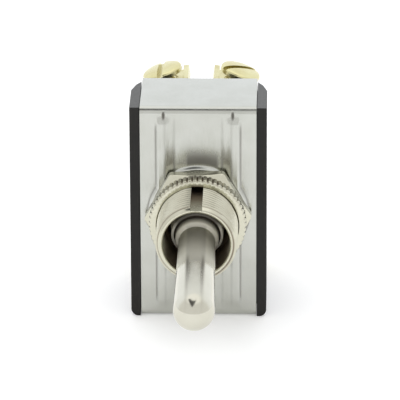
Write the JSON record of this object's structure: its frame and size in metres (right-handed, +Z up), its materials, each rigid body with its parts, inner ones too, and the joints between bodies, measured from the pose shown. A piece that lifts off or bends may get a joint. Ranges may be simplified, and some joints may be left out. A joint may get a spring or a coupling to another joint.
{
  "type": "toggle switch",
  "caption": "Panel-mount double-pole toggle switch: metal bat lever in a threaded bushing with nuts, ribbed steel frame, black moulded base, brass screw terminals.",
  "frame": {"origin": "on the steel flap of the lower end, which the switch stands on, midway between its sides and 6.2 mm behind the front plate", "axes": "+Z up the long side of the body, -Y out along the bushing and lever, +Y towards the terminals, +X across the poles"},
  "size_m": [0.02, 0.0506, 0.033],
  "materials": {
    "phenolic": "satin",
    "zinc_plate": "satin",
    "fibre": "matte",
    "nickel_plate": "satin",
    "nickel_bat": "satin",
    "pin_steel": "satin",
    "nylon": "satin",
    "contact_brass": "satin",
    "spring_steel": "satin",
    "silver": "satin",
    "terminal_brass": "satin",
    "screw_brass": "satin"
  },
  "bodies": {
    "housing": {"base": "phenolic", "frame": "zinc_plate", "insulating_liner": "fibre", "bushing": "nickel_plate", "hex_nut": "nickel_plate", "knurled_nut": "nickel_plate", "lever_pin": "pin_steel", "fixed_contact_upper_left": "silver", "fixed_contact_lower_left": "silver", "terminal_upper_left": "terminal_brass", "screw_upper_left": "screw_brass", "terminal_middle_left": "terminal_brass", "screw_middle_left": "screw_brass", "terminal_lower_left": "terminal_brass", "screw_lower_left": "screw_brass", "fixed_contact_upper_right": "silver", "fixed_contact_lower_right": "silver", "terminal_upper_right": "terminal_brass", "screw_upper_right": "screw_brass", "terminal_middle_right": "terminal_brass", "screw_middle_right": "screw_brass", "terminal_lower_right": "terminal_brass", "screw_lower_right": "screw_brass"},
    "lever": {"lever": "nickel_bat", "yoke": "nylon", "plunger_spring_left": "spring_steel", "plunger_spring_right": "spring_steel"},
    "plunger_left": {"plunger_left": "contact_brass"},
    "rocker_left": {"rocker_left": "contact_brass", "moving_contact_upper_left": "silver", "moving_contact_lower_left": "silver"},
    "plunger_right": {"plunger_right": "contact_brass"},
    "rocker_right": {"rocker_right": "contact_brass", "moving_contact_upper_right": "silver", "moving_contact_lower_right": "silver"}
  },
  "joints": [
    {"name": "lever_tilt", "type": "hinge", "parent": "housing", "child": "lever", "pos_m": [0, -0.0091, 0.0165], "axis": [-1, 0, 0], "range_deg": [0, 24]},
    {"name": "plunger_left_press", "type": "slide", "parent": "lever", "child": "plunger_left", "axis": [0, -0.9781, -0.2079], "range_m": [0, 0.0004], "stiffness_N_per_m": 1500, "springref_m": -0.001},
    {"name": "rocker_left_tilt", "type": "hinge", "parent": "housing", "child": "rocker_left", "pos_m": [-0.005, 0.00385, 0.0165], "axis": [-1, 0, 0], "range_deg": [-19.2, 0]},
    {"name": "plunger_right_press", "type": "slide", "parent": "lever", "child": "plunger_right", "axis": [0, -0.9781, -0.2079], "range_m": [0, 0.0004], "stiffness_N_per_m": 1500, "springref_m": -0.001},
    {"name": "rocker_right_tilt", "type": "hinge", "parent": "housing", "child": "rocker_right", "pos_m": [0.005, 0.00385, 0.0165], "axis": [-1, 0, 0], "range_deg": [-19.2, 0]}
  ],
  "couplings": [
    {"joint": "rocker_left_tilt", "follows": "lever_tilt", "ratio": -0.8},
    {"joint": "rocker_right_tilt", "follows": "lever_tilt", "ratio": -0.8}
  ]
}
